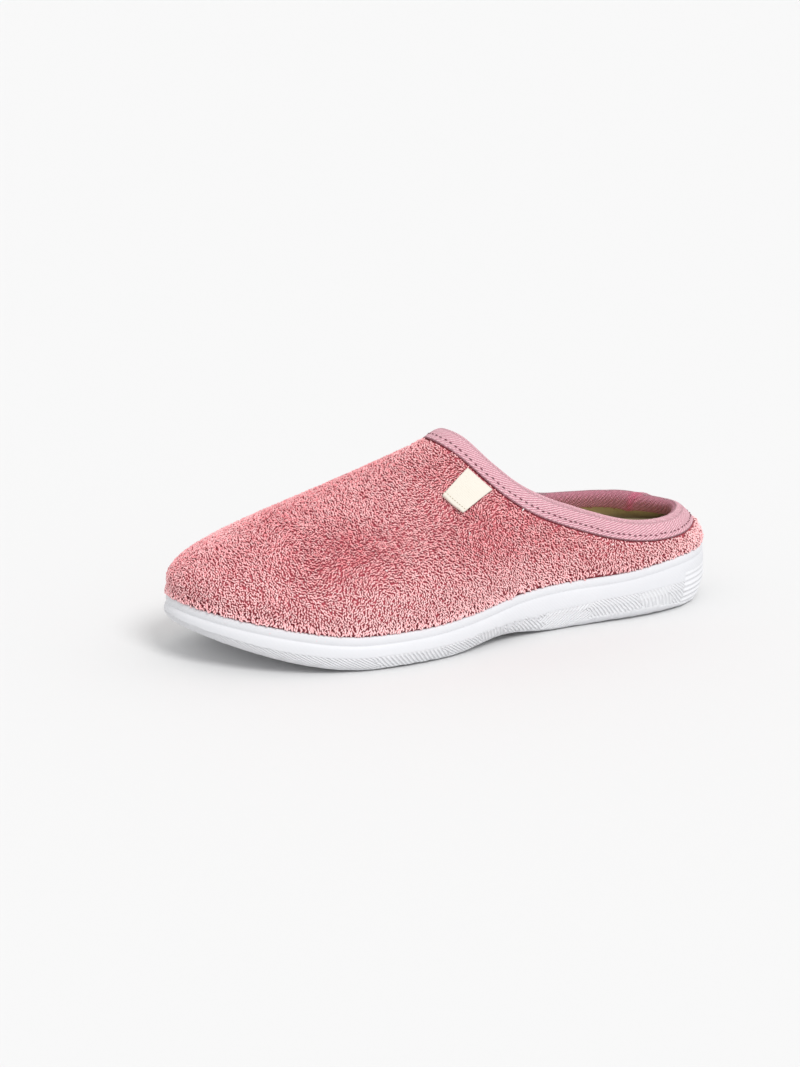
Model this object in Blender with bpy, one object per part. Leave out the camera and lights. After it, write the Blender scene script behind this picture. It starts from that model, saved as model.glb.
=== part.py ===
"""Left terry house slipper: closed toe, low back, moulded unit sole.

The frame is +X toward the toe, +Y to the outer (little toe) side and +Z up. The
origin is on the floor under the middle of the slipper's box. Metres throughout.
"""

import bmesh
import bpy
import numpy as np

# Driving sizes of the last
LAST_LENGTH = 0.2460
BALL_WIDTH = 0.0900
HEEL_WIDTH = 0.0650
INSTEP_HEIGHT = 0.0845
HEEL_COLLAR_HEIGHT = 0.0400

# Upper and its pieces
UPPER_WALL = 0.0032
UPPER_BULGE = 0.0080
TAPE_WIDTH = 0.0090
TAPE_INNER_WIDTH = 0.0058
TAPE_THICKNESS = 0.0013
TAPE_SEAT = 0.0008
TAPE_LAP = 0.0120
TAPE_LAP_RISE = 0.0008
LABEL_WIDTH = 0.0135
LABEL_LENGTH = 0.0195
LABEL_THICKNESS = 0.0008
INSOLE_THICKNESS = 0.0045
INSOLE_HEEL_THICKNESS = 0.0080
INSOLE_DISH = 0.0015
INSOLE_DISH_MARGIN = 0.0120
INSOLE_EDGE = 0.0012

# Sole
HEEL_SIDE = 0.0255
FOREFOOT_SIDE = 0.0149
TOE_SPRING = 0.0145
HEEL_LIFT = 0.0030
ARCH_LIFT = 0.0030
LIP_HEIGHT = 0.0040
LIP_THICKNESS = 0.0014
SIDE_SWELL = 0.0014
RIM_GROOVE_DROP = 0.0032
RIM_GROOVE_DEPTH = 0.0006
RIM_GROOVE_WIDTH = 0.0010
RIB_DEPTH = 0.0006
EDGE_RADIUS = 0.0028

CLEARANCE = 0.0003
NUDGE = 0.001

# Counts
STATIONS = 80
RIBS_PER_STATION = 2
LABEL_POINTS = 4
SAMPLES = 60

# Edges between faces that turn by more than this stay sharp, in radians
SHARP_ANGLE = 0.6

# Plan of the last, heel centre first, then the outer side to the toe and back along
# the inner side: share of the length, share of the local width.
PLAN_COLUMNS = ("along", "across")
PLAN = (
    (0.000, 0.000),
    (0.030, 0.255),
    (0.095, 0.430),
    (0.190, 0.500),
    (0.320, 0.485),
    (0.450, 0.455),
    (0.570, 0.480),
    (0.680, 0.510),
    (0.780, 0.480),
    (0.870, 0.385),
    (0.940, 0.235),
    (0.985, 0.070),
    (1.000, -0.090),
    (0.985, -0.240),
    (0.935, -0.375),
    (0.860, -0.460),
    (0.760, -0.490),
    (0.650, -0.455),
    (0.530, -0.385),
    (0.410, -0.375),
    (0.290, -0.440),
    (0.180, -0.490),
    (0.090, -0.420),
    (0.030, -0.255),
)

# One row of the upper for each row of the plan. The collar point is a share of the
# length, a share of the heel width and a share of the way from the heel collar's
# height to the instep's. The section rises from the plan to it: wall is the share of
# its rise that stands upright, swell a share of the bulge, lead the share of its
# length that leaves the collar straight, and slope the angle there in degrees.
SECTION_COLUMNS = ("along", "across", "up", "wall", "swell", "lead", "slope")
SECTIONS = (
    (0.0330, 0.000, 0.005, 0.450, 0.45, 0.35, 72),
    (0.0540, 0.170, 0.000, 0.450, 0.45, 0.35, 72),
    (0.1040, 0.340, -0.005, 0.430, 0.45, 0.35, 73),
    (0.1870, 0.415, 0.022, 0.420, 0.50, 0.35, 72),
    (0.2930, 0.425, 0.190, 0.430, 0.55, 0.31, 62),
    (0.3840, 0.402, 0.392, 0.440, 0.60, 0.30, 51),
    (0.4430, 0.340, 0.607, 0.400, 0.70, 0.31, 43),
    (0.4770, 0.250, 0.802, 0.350, 0.90, 0.34, 40),
    (0.4950, 0.160, 0.928, 0.320, 1.20, 0.37, 36),
    (0.5030, 0.090, 0.973, 0.330, 1.55, 0.40, 31),
    (0.5060, 0.040, 0.988, 0.345, 1.95, 0.43, 28),
    (0.5070, 0.000, 0.993, 0.360, 2.30, 0.44, 26),
    (0.5070, -0.034, 0.993, 0.360, 2.40, 0.44, 26),
    (0.5060, -0.066, 0.988, 0.345, 2.25, 0.43, 26),
    (0.5030, -0.112, 0.976, 0.310, 1.85, 0.41, 28),
    (0.4980, -0.170, 0.944, 0.280, 1.50, 0.38, 33),
    (0.4850, -0.238, 0.870, 0.280, 1.20, 0.36, 41),
    (0.4600, -0.305, 0.720, 0.320, 0.90, 0.33, 50),
    (0.4190, -0.365, 0.497, 0.380, 0.70, 0.31, 58),
    (0.3560, -0.400, 0.240, 0.420, 0.60, 0.30, 66),
    (0.2760, -0.412, 0.108, 0.430, 0.55, 0.31, 71),
    (0.1790, -0.400, 0.074, 0.420, 0.50, 0.35, 73),
    (0.1040, -0.325, 0.055, 0.430, 0.45, 0.35, 73),
    (0.0560, -0.165, 0.022, 0.450, 0.45, 0.35, 72),
)

# Side of the sole from heel to toe: share of the length, and share of the way from
# the forefoot's side height to the heel's.
SIDE_COLUMNS = ("along", "height")
SIDE = (
    (0.00, 0.96),
    (0.10, 0.93),
    (0.24, 0.62),
    (0.37, 0.58),
    (0.45, 0.47),
    (0.53, 0.23),
    (0.62, 0.05),
    (0.75, 0.00),
    (0.88, -0.05),
    (1.00, -0.32),
)

# Outside of the sole under its rim: shares of the side's swell, of the groove's drop,
# of its width below that and of its depth.
RIM_COLUMNS = ("swell", "drop", "width", "depth")
RIM_ROWS = (
    (0.3, 0.25, 0.0, 0.0),
    (0.5, 1.00, 0.0, 0.0),
    (0.5, 1.00, 0.5, 1.0),
    (0.6, 1.00, 1.0, 0.0),
)

# Shares of the side's height where the swell is full, above the ribbed band
FULL_ROWS = (0.55, 0.40)

# Ribbed band from its top: share of the edge's radius that it has turned in, and
# share of the side's height. The tread's rows lie at multiples of that radius.
BAND_COLUMNS = ("turned", "height")
BAND_ROWS = ((0.00, 0.37), (0.25, 0.21), (0.80, 0.07))
TREAD_ROWS = (1.6, 3.5)

# Places along the last, as shares of its length
WIDTH_BLEND = (0.30, 0.62)
SPRING_START = 0.75
SPRING_POWER = 1.7
HEEL_LIFT_END = 0.05
ARCH_SPAN = (0.36, 0.61)
HEEL_PANEL_END = 0.11
HEEL_BED_BLEND = (0.25, 0.60)

# Places round the plan, counted in its rows, and the label's lean
LAP_PLACE = 22.3
LABEL_PLACE = 6.80
LABEL_LEAN = 0.50

# Shares of a section's length where the upper has its rows
OUTER_ROWS = (0.0, 0.08, 0.17, 0.27, 0.38, 0.50, 0.64, 0.80, 1.0)
INNER_ROWS = (0.0, 0.10, 0.22, 0.36, 0.52, 0.70, 0.86, 1.0)


def column(table, columns, name):
    return np.array([row[columns.index(name)] for row in table], float)


def smooth_step(value, low, high):
    share = np.clip((value - low) / (high - low), 0.0, 1.0)
    return share * share * (3 - 2 * share)


class ClosedCurve:
    """A periodic cubic through the rows of a table. Whole places are the rows themselves."""

    def __init__(self, values, steps):
        count = len(values)
        matrix = np.zeros((count, count))
        right = np.zeros_like(values)
        for row in range(count):
            before, after = steps[row - 1], steps[row]
            ahead = (row + 1) % count
            matrix[row, row] += 2 * (before + after)
            matrix[row, row - 1] += before
            matrix[row, ahead] += after
            rise = (values[ahead] - values[row]) / after
            right[row] = 6 * (rise - (values[row] - values[row - 1]) / before)
        self.values = values
        self.steps = steps
        self.bend = np.linalg.solve(matrix, right)

    def at(self, place):
        row = int(np.floor(place)) % len(self.values)
        ahead = (row + 1) % len(self.values)
        step = self.steps[row]
        past = (place - np.floor(place)) * step
        left = step - past
        cubic = self.bend[row] * left**3 + self.bend[ahead] * past**3
        start = self.values[row] / step - self.bend[row] * step / 6
        end = self.values[ahead] / step - self.bend[ahead] * step / 6
        return cubic / (6 * step) + start * left + end * past


def open_curve(places, values, place):
    """A cubic with slopes taken from its neighbours, through a short open table."""
    slopes = np.gradient(values, places)
    row = int(np.clip(np.searchsorted(places, place) - 1, 0, len(places) - 2))
    step = places[row + 1] - places[row]
    share = np.clip((place - places[row]) / step, 0.0, 1.0)
    bend_in = (1 - share) ** 2 * share * step * slopes[row]
    bend_out = share**2 * (share - 1) * step * slopes[row + 1]
    mix = share * share * (3 - 2 * share)
    return values[row] * (1 - mix) + values[row + 1] * mix + bend_in + bend_out


def local_width(along):
    return HEEL_WIDTH + (BALL_WIDTH - HEEL_WIDTH) * smooth_step(along, *WIDTH_BLEND)


def plan_points():
    along = column(PLAN, PLAN_COLUMNS, "along")
    across = column(PLAN, PLAN_COLUMNS, "across") * local_width(along)
    return np.column_stack([(along - 0.5) * LAST_LENGTH, across])


def section_values(middle):
    along = (column(SECTIONS, SECTION_COLUMNS, "along") - 0.5) * LAST_LENGTH - middle[0]
    across = column(SECTIONS, SECTION_COLUMNS, "across") * HEEL_WIDTH - middle[1]
    climb = INSTEP_HEIGHT - HEEL_COLLAR_HEIGHT
    up = HEEL_COLLAR_HEIGHT + column(SECTIONS, SECTION_COLUMNS, "up") * climb
    shares = [column(SECTIONS, SECTION_COLUMNS, name) for name in SECTION_COLUMNS[3:]]
    return np.column_stack([along, across, up, *shares])


def box_middle(points, steps):
    """The middle of the plan's box, where the slipper's origin stands."""
    curve = ClosedCurve(points, steps)
    places = np.linspace(0, len(points), SAMPLES * len(points) + 1)
    edge = np.array([curve.at(place) for place in places])
    return (edge.min(axis=0) + edge.max(axis=0)) / 2


PLAN_POINTS = plan_points()
PLAN_STEPS = np.linalg.norm(np.roll(PLAN_POINTS, -1, axis=0) - PLAN_POINTS, axis=1)
MIDDLE = box_middle(PLAN_POINTS, PLAN_STEPS)
PLAN_CURVE = ClosedCurve(PLAN_POINTS - MIDDLE, PLAN_STEPS)
SECTION_CURVE = ClosedCurve(section_values(MIDDLE), PLAN_STEPS)


def plan_normal(place):
    """The outward direction of the plan's edge."""
    ahead = PLAN_CURVE.at(place + NUDGE) - PLAN_CURVE.at(place - NUDGE)
    ahead /= np.linalg.norm(ahead)
    return np.array([-ahead[1], ahead[0]])


def plan_offset(place, distance):
    return PLAN_CURVE.at(place) + plan_normal(place) * distance


def even_places(count):
    """Places round the plan at equal distances, from the heel centre."""
    fine = np.linspace(0, len(PLAN), SAMPLES * len(PLAN) + 1)
    points = np.array([PLAN_CURVE.at(place) for place in fine])
    run = np.linalg.norm(np.diff(points, axis=0), axis=1)
    reached = np.concatenate([[0.0], np.cumsum(run)])
    return np.interp(np.arange(count) / count * reached[-1], reached, fine)


def share_along(x):
    return np.clip(x / LAST_LENGTH + 0.5, 0.0, 1.0)


def base_height(x):
    """The line of the tread without its arch: flat, with the toe and the heel's end lifted."""
    along = share_along(x)
    spring = max(along - SPRING_START, 0.0) / (1 - SPRING_START)
    heel = max(HEEL_LIFT_END - along, 0.0) / HEEL_LIFT_END
    return TOE_SPRING * spring**SPRING_POWER + HEEL_LIFT * heel * heel


def ground_height(x):
    inside = (share_along(x) - ARCH_SPAN[0]) / (ARCH_SPAN[1] - ARCH_SPAN[0])
    arch = np.sin(np.pi * np.clip(inside, 0.0, 1.0)) ** 2
    return base_height(x) + ARCH_LIFT * arch


def rim_height(x):
    share = open_curve(
        column(SIDE, SIDE_COLUMNS, "along"), column(SIDE, SIDE_COLUMNS, "height"), share_along(x)
    )
    return base_height(x) + FOREFOOT_SIDE + share * (HEEL_SIDE - FOREFOOT_SIDE)


def well_height(x):
    return rim_height(x) - LIP_HEIGHT


def section_point(place, share):
    """A point of the upper's outer face, from the rim (share 0) to the collar (share 1)."""
    foot = PLAN_CURVE.at(place)
    along, across, up, wall, swell, lead, slope = SECTION_CURVE.at(place)
    start = np.array([foot[0], foot[1], rim_height(foot[0]) + CLEARANCE])
    end = np.array([along, across, up])
    inward = end[:2] - foot
    inward = inward / np.linalg.norm(inward)
    outward = plan_normal(place)
    rise = end[2] - start[2]
    length = np.linalg.norm(end - start)
    angle = np.radians(slope)
    first = start + np.array([*(outward * swell * UPPER_BULGE), wall * rise])
    run = np.array([*(inward * np.cos(angle)), np.sin(angle)])
    second = end - run * lead * length
    rest = 1 - share
    return (
        rest**3 * start
        + 3 * rest**2 * share * first
        + 3 * rest * share**2 * second
        + share**3 * end
    )


def section_normal(place, share):
    low, high = max(share - NUDGE, 0.0), min(share + NUDGE, 1.0)
    up = section_point(place, high) - section_point(place, low)
    ahead = section_point(place + NUDGE, share) - section_point(place - NUDGE, share)
    normal = np.cross(up, ahead)
    return normal / np.linalg.norm(normal)


def upper_point(place, share, lift=0.0):
    """A point at a distance from the upper's outer face, outward where lift is positive."""
    return section_point(place, share) + section_normal(place, share) * lift


def share_below_collar(place, distance):
    """The share of a section that lies a distance below the collar's edge, along its face."""
    shares = np.linspace(1.0, 0.0, SAMPLES + 1)
    points = np.array([section_point(place, share) for share in shares])
    reached = np.concatenate([[0.0], np.cumsum(np.linalg.norm(np.diff(points, axis=0), axis=1))])
    return float(np.interp(distance, reached, shares))


def new_object(name, builder, colour, roughness):
    mesh = bpy.data.meshes.new(name)
    shape = bmesh.new()
    builder(shape)
    bmesh.ops.recalc_face_normals(shape, faces=shape.faces)
    shape.to_mesh(mesh)
    shape.free()
    material = bpy.data.materials.new(name)
    material.use_nodes = True
    shader = material.node_tree.nodes["Principled BSDF"]
    shader.inputs["Base Color"].default_value = (*colour, 1.0)
    shader.inputs["Roughness"].default_value = roughness
    shader.inputs["Metallic"].default_value = 0.0
    mesh.materials.append(material)
    mesh.shade_smooth()
    mesh.set_sharp_from_angle(angle=SHARP_ANGLE)
    made = bpy.data.objects.new(name, mesh)
    bpy.data.collections["terry_slipper"].objects.link(made)
    return made


def add_ring(shape, points):
    return [shape.verts.new(point) for point in points]


def join_rings(shape, first, second, closed=True):
    """Faces between two rings, where the second may have a whole number more points."""
    ratio = len(second) // len(first)
    for index in range(len(first) if closed else len(first) - 1):
        ahead = (index + 1) % len(first)
        fan = [second[(index * ratio + step) % len(second)] for step in range(ratio + 1)]
        if ratio == 1:
            shape.faces.new((first[index], first[ahead], fan[1], fan[0]))
            continue
        middle = ratio // 2
        for step in range(middle):
            shape.faces.new((first[index], fan[step + 1], fan[step]))
        shape.faces.new((first[index], first[ahead], fan[middle]))
        for step in range(middle, ratio):
            shape.faces.new((first[ahead], fan[step + 1], fan[step]))


def fill_across(shape, ring):
    """Strips from each point of a plan ring to its partner on the other side."""
    count = len(ring)
    half = count // 2
    shape.faces.new((ring[0], ring[1], ring[-1]))
    for index in range(1, half - 1):
        shape.faces.new((ring[index], ring[index + 1], ring[-index - 1], ring[-index]))
    shape.faces.new((ring[half - 1], ring[half], ring[half + 1]))


def plan_ring(places, distance, height):
    """A ring at a distance from the plan, at the height that a function of x gives."""
    ring = []
    for place in places:
        foot = PLAN_CURVE.at(place)
        x, y = plan_offset(place, distance)
        ring.append((x, y, height(foot[0])))
    return ring


def rib_depth(x, turn, level):
    """How far the band stands back here: slanting ribs, or a long one round the heel."""
    if share_along(x) < HEEL_PANEL_END:
        return RIB_DEPTH if level == 1 else 0.0
    return RIB_DEPTH * ((turn + level) % 2)


def sole_side(share):
    """The height at a share of the way up the sole's side, as a function of x."""
    return lambda x: ground_height(x) + share * (rim_height(x) - ground_height(x))


def below_rim(drop):
    return lambda x: rim_height(x) - drop


def sole_side_rows(rim_out, swell_out):
    """Distance out of the plan and height function of each row above the ribbed band."""
    rows = [(CLEARANCE, well_height), (CLEARANCE, rim_height), (rim_out, rim_height)]
    for swell, drop, width, depth in RIM_ROWS:
        out = rim_out + swell * SIDE_SWELL - depth * RIM_GROOVE_DEPTH
        rows.append((out, below_rim(drop * RIM_GROOVE_DROP + width * RIM_GROOVE_WIDTH)))
    return rows + [(swell_out, sole_side(share)) for share in FULL_ROWS]


def build_sole(shape):
    coarse = even_places(STATIONS)
    fine = even_places(STATIONS * RIBS_PER_STATION * 2)
    rim_out = CLEARANCE + LIP_THICKNESS
    swell_out = rim_out + SIDE_SWELL
    rows = sole_side_rows(rim_out, swell_out)
    rings = [add_ring(shape, plan_ring(coarse, out, height)) for out, height in rows]
    fill_across(shape, rings[0])

    for level, (turned, share) in enumerate(BAND_ROWS):
        points = []
        for turn, place in enumerate(fine):
            x = PLAN_CURVE.at(place)[0]
            back = turned * EDGE_RADIUS + rib_depth(x, turn, level)
            points.append((*plan_offset(place, swell_out - back), sole_side(share)(x)))
        rings.append(add_ring(shape, points))
    for first, second in zip(rings, rings[1:]):
        join_rings(shape, first, second)

    tread = [
        add_ring(shape, plan_ring(coarse, swell_out - radii * EDGE_RADIUS, ground_height))
        for radii in TREAD_ROWS
    ]
    join_rings(shape, tread[0], rings[-1])
    join_rings(shape, tread[0], tread[1])
    fill_across(shape, tread[1])


def insole_thickness(x):
    raised = 1 - smooth_step(share_along(x), *HEEL_BED_BLEND)
    return INSOLE_THICKNESS + raised * (INSOLE_HEEL_THICKNESS - INSOLE_THICKNESS)


def build_insole(shape):
    places = even_places(STATIONS)
    edge = -(UPPER_WALL + CLEARANCE)

    def above_well(lift):
        return lambda x: well_height(x) + CLEARANCE + lift

    def below_top(drop):
        return lambda x: well_height(x) + CLEARANCE + insole_thickness(x) - drop

    rows = (
        (edge - INSOLE_EDGE, above_well(0.0)),
        (edge, above_well(INSOLE_EDGE)),
        (edge, below_top(INSOLE_EDGE)),
        (edge - INSOLE_EDGE, below_top(0.0)),
        (edge - INSOLE_DISH_MARGIN, below_top(INSOLE_DISH)),
    )
    rings = [add_ring(shape, plan_ring(places, out, height)) for out, height in rows]
    fill_across(shape, rings[0])
    for first, second in zip(rings, rings[1:]):
        join_rings(shape, first, second)
    fill_across(shape, rings[-1])


def strip_shares(place, width):
    """Shares of a section at the collar's edge, half way down a strip of tape and at its end."""
    return [share_below_collar(place, width * part) for part in (0.0, 0.5, 1.0)]


def upper_section(place):
    """The closed section of the wall: up the outer face, over the edge and down inside."""
    foot = PLAN_CURVE.at(place)
    low = well_height(foot[0]) + CLEARANCE
    seat_width = TAPE_WIDTH + 2 * CLEARANCE
    step_share = share_below_collar(place, seat_width + TAPE_SEAT)
    outer_strip = strip_shares(place, TAPE_WIDTH)
    inner_strip = strip_shares(place, TAPE_INNER_WIDTH)
    points = [np.array([*foot, low])]
    points += [upper_point(place, share * step_share) for share in OUTER_ROWS]
    points.append(upper_point(place, share_below_collar(place, seat_width), -TAPE_SEAT))
    points += [upper_point(place, share, -TAPE_SEAT) for share in reversed(outer_strip[:2])]
    points += [upper_point(place, share, -UPPER_WALL) for share in inner_strip[:2]]
    points += [
        upper_point(place, share * inner_strip[2], -UPPER_WALL) for share in reversed(INNER_ROWS)
    ]
    points.append(np.array([*plan_offset(place, -UPPER_WALL), low]))
    return points


def build_upper(shape):
    sections = [add_ring(shape, upper_section(place)) for place in even_places(STATIONS)]
    for first, second in zip(sections, sections[1:] + sections[:1]):
        join_rings(shape, first, second)


def tape_thickness(edge):
    """The tape's thickness at a point of the collar: more where its two ends lap."""
    away = np.linalg.norm(edge - section_point(LAP_PLACE, 1.0))
    lapped = 1 - smooth_step(away, TAPE_LAP / 4, TAPE_LAP / 2)
    return TAPE_THICKNESS + lapped * TAPE_LAP_RISE


def tape_section(place):
    """The folded tape: outer strip, roll over the edge and inner strip."""
    edge = section_point(place, 1.0)
    thickness = tape_thickness(edge)
    near = CLEARANCE - TAPE_SEAT
    far = near + thickness
    inner_near = -UPPER_WALL - CLEARANCE
    inner_far = inner_near - thickness
    normal = section_normal(place, 1.0)
    rise = edge - section_point(place, 1.0 - NUDGE)
    rise /= np.linalg.norm(rise)
    middle = (far + inner_far) / 2
    outer_shares = strip_shares(place, TAPE_WIDTH)
    inner_shares = strip_shares(place, TAPE_INNER_WIDTH)
    points = [upper_point(place, share, far) for share in reversed(outer_shares)]
    points.append(edge + normal * middle + rise * (CLEARANCE + thickness))
    points += [upper_point(place, share, inner_far) for share in inner_shares]
    points += [upper_point(place, share, inner_near) for share in reversed(inner_shares)]
    points[-1] = edge + normal * inner_near + rise * CLEARANCE
    points.append(edge + normal * near + rise * CLEARANCE)
    points += [upper_point(place, share, near) for share in outer_shares[1:]]
    return points


def build_tape(shape):
    sections = [add_ring(shape, tape_section(place)) for place in even_places(STATIONS)]
    for first, second in zip(sections, sections[1:] + sections[:1]):
        join_rings(shape, first, second)


def label_grid(lift):
    """Points of the tab on the upper's face, across its width and down its length."""
    rows = []
    for down in np.linspace(0.0, 1.0, LABEL_POINTS):
        row = []
        distance = TAPE_WIDTH + 3 * CLEARANCE + TAPE_SEAT + down * LABEL_LENGTH
        share = share_below_collar(LABEL_PLACE, distance)
        beside = section_point(LABEL_PLACE + NUDGE, share) - section_point(LABEL_PLACE, share)
        turn = LABEL_WIDTH * NUDGE / np.linalg.norm(beside)
        for over in np.linspace(-0.5, 0.5, LABEL_POINTS):
            place = LABEL_PLACE + (over + down * LABEL_LEAN) * turn
            row.append(upper_point(place, share_below_collar(place, distance), lift))
        rows.append(row)
    return rows


def build_label(shape):
    low = [add_ring(shape, row) for row in label_grid(CLEARANCE)]
    high = [add_ring(shape, row) for row in label_grid(CLEARANCE + LABEL_THICKNESS)]
    for sheet in (low, high):
        for first, second in zip(sheet, sheet[1:]):
            join_rings(shape, first, second, closed=False)
    rims = []
    for sheet in (low, high):
        left = [row[0] for row in sheet]
        right = [row[-1] for row in sheet]
        rims.append(sheet[0] + right[1:] + sheet[-1][-2::-1] + left[-2:0:-1])
    join_rings(shape, rims[0], rims[1])


def clear_scene():
    for found in list(bpy.data.objects):
        bpy.data.objects.remove(found, do_unlink=True)


# Name, builder, base colour and roughness of each piece
PIECES = (
    ("sole", build_sole, (0.86, 0.87, 0.89), 0.55),
    ("insole", build_insole, (0.55, 0.47, 0.30), 0.90),
    ("upper", build_upper, (0.58, 0.18, 0.20), 0.95),
    ("collar_binding", build_tape, (0.72, 0.32, 0.36), 0.80),
    ("label", build_label, (0.83, 0.74, 0.62), 0.80),
)


def build_slipper():
    clear_scene()
    collection = bpy.data.collections.new("terry_slipper")
    bpy.context.scene.collection.children.link(collection)
    for piece in PIECES:
        new_object(*piece)


build_slipper()
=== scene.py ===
# Terry slipper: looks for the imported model. Metres, +X toe, +Y outer side, +Z up.
import math
import bmesh
import bpy
import numpy as np
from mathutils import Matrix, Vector, kdtree, noise
from mathutils.bvhtree import BVHTree


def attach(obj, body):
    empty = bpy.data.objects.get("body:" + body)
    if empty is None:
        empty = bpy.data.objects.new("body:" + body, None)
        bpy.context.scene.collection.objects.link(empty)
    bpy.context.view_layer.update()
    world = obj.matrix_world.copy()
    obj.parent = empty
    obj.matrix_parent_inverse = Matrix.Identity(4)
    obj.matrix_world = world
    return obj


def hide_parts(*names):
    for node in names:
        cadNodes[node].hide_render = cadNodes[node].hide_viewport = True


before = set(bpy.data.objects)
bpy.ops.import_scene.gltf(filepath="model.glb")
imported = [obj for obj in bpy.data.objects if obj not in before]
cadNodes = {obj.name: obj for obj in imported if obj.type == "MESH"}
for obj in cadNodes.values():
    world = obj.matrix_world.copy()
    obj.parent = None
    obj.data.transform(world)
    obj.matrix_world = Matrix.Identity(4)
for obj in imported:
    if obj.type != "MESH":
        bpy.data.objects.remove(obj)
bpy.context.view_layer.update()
print("frame loaded")


copying = {"weld": 0.000005, "bend": 50, "skew": 75}  # metres, then degrees


def copyOf(nodeName):
    # a CAD mesh comes as loose triangles, so its copy is merged and made quads again
    shape = bmesh.new()
    shape.from_mesh(cadNodes[nodeName].data)
    bmesh.ops.remove_doubles(shape, verts=shape.verts, dist=copying["weld"])
    bmesh.ops.join_triangles(shape, faces=shape.faces, angle_face_threshold=math.radians(copying["bend"]),
                             angle_shape_threshold=math.radians(copying["skew"]))
    return shape


def makePiece(name, shape, material, stands=None):
    mesh = bpy.data.meshes.new(name)
    shape.to_mesh(mesh)
    shape.free()
    piece = bpy.data.objects.new(name, mesh)
    bpy.context.scene.collection.objects.link(piece)
    mesh.materials.clear()
    mesh.materials.append(material)
    mesh.shade_smooth()
    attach(piece, "root")
    if stands:
        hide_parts(stands)
    return piece


def refine(piece, levels, simple=False):
    smoother = piece.modifiers.new("refine", "SUBSURF")
    smoother.subdivision_type = "SIMPLE" if simple else "CATMULL_CLARK"
    smoother.levels = smoother.render_levels = levels
    graph = bpy.context.evaluated_depsgraph_get()
    mesh = bpy.data.meshes.new_from_object(piece.evaluated_get(graph))
    piece.modifiers.clear()
    piece.data = mesh
    mesh.shade_smooth()
    return piece


def readPoints(mesh):
    points = np.empty(len(mesh.vertices) * 3)
    mesh.vertices.foreach_get("co", points)
    return points.reshape(-1, 3)


def readNormals(mesh):
    normals = np.empty(len(mesh.vertices) * 3)
    mesh.vertices.foreach_get("normal", normals)
    return normals.reshape(-1, 3)


def writePoints(mesh, points):
    mesh.vertices.foreach_set("co", points.astype(np.float32).ravel())
    mesh.update()


def ease(value, low, high):
    share = np.clip((np.asarray(value, float) - low) / (high - low), 0, 1)
    return share * share * (3 - 2 * share)


def treeOf(piece):
    shape = bmesh.new()
    shape.from_mesh(piece.data)
    tree = BVHTree.FromBMesh(shape)
    shape.free()
    return tree


room = {"heel": -0.078, "toe": 0.070, "height": 0.030}  # a line along the middle of the foot's room


def outwardOf(points, normals):
    # above zero on faces that look away from the foot's room
    middle = np.zeros_like(points)
    middle[:, 0] = np.clip(points[:, 0], room["heel"], room["toe"])
    middle[:, 2] = room["height"]
    return np.einsum("ij,ij->i", normals, points - middle)


class ClosedLine:
    # a smooth closed line through its knots, measured along its length
    def __init__(self, knots, perSpan):
        knots = np.array(knots, float)
        rows = []
        for index in range(len(knots)):
            a, b, c, d = (knots[(index + step) % len(knots)] for step in (-1, 0, 1, 2))
            for t in np.arange(perSpan) / perSpan:
                rows.append(0.5 * (2 * b + (c - a) * t + (2 * a - 5 * b + 4 * c - d) * t * t
                                   + (3 * b - a - 3 * c + d) * t ** 3))
        self.points = np.array(rows)
        ahead = np.roll(self.points, -1, axis=0)
        steps = np.linalg.norm(ahead - self.points, axis=1)
        self.along = np.concatenate([[0], np.cumsum(steps)[:-1]])
        self.length = float(steps.sum())
        self.tree = kdtree.KDTree(len(rows))
        for index, point in enumerate(self.points):
            self.tree.insert(Vector(point), index)
        self.tree.balance()

    def locate(self, points):
        found = [self.tree.find(Vector(p)) for p in points]
        return np.array([self.along[f[1]] for f in found]), np.array([f[2] for f in found])

    def at(self, along):
        wrapped = np.append(self.along, self.length)
        closed = np.vstack([self.points, self.points[:1]])
        along = np.asarray(along) % self.length
        return np.stack([np.interp(along, wrapped, closed[:, axis]) for axis in range(3)], -1)


def writeUv(mesh, u, v, around):
    # u runs round the piece, so a face over its start is carried one turn on
    layer = mesh.uv_layers.new(name="strip")
    corners = np.empty(len(mesh.loops), np.int32)
    mesh.loops.foreach_get("vertex_index", corners)
    cu, cv = u[corners].copy(), v[corners]
    for face in mesh.polygons:
        run = slice(face.loop_start, face.loop_start + face.loop_total)
        if cu[run].max() - cu[run].min() > around / 2:
            cu[run] = np.where(cu[run] < around / 2, cu[run] + around, cu[run])
    layer.data.foreach_set("uv", np.stack([cu, cv], 1).astype(np.float32).ravel())


sheenRoughness = 0.45


def newMaterial(name, roughness, sheen=0.0, sheenTint=(1, 1, 1, 1), specular=0.3):
    material = bpy.data.materials.new(name)
    material.use_nodes = True
    shader = material.node_tree.nodes["Principled BSDF"]
    shader.inputs["Roughness"].default_value = roughness
    shader.inputs["Specular IOR Level"].default_value = specular
    shader.inputs["Sheen Weight"].default_value = sheen
    shader.inputs["Sheen Roughness"].default_value = sheenRoughness
    shader.inputs["Sheen Tint"].default_value = sheenTint
    return material, material.node_tree, shader


def addNode(tree, kind, **values):
    node = tree.nodes.new(kind)
    for key, value in values.items():
        if hasattr(node, key):
            setattr(node, key, value)
        else:
            node.inputs[key.replace("_", " ")].default_value = value
    return node


def mathNode(tree, operation, first, second=None):
    node = tree.nodes.new("ShaderNodeMath")
    node.operation = operation
    node.inputs[2].default_value = 0.5  # what MULTIPLY_ADD adds
    for socket, value in zip(node.inputs, (first, second)):
        if value is None:
            continue
        if isinstance(value, (int, float)):
            socket.default_value = value
        else:
            tree.links.new(value, socket)
    return node.outputs[0]


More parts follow.
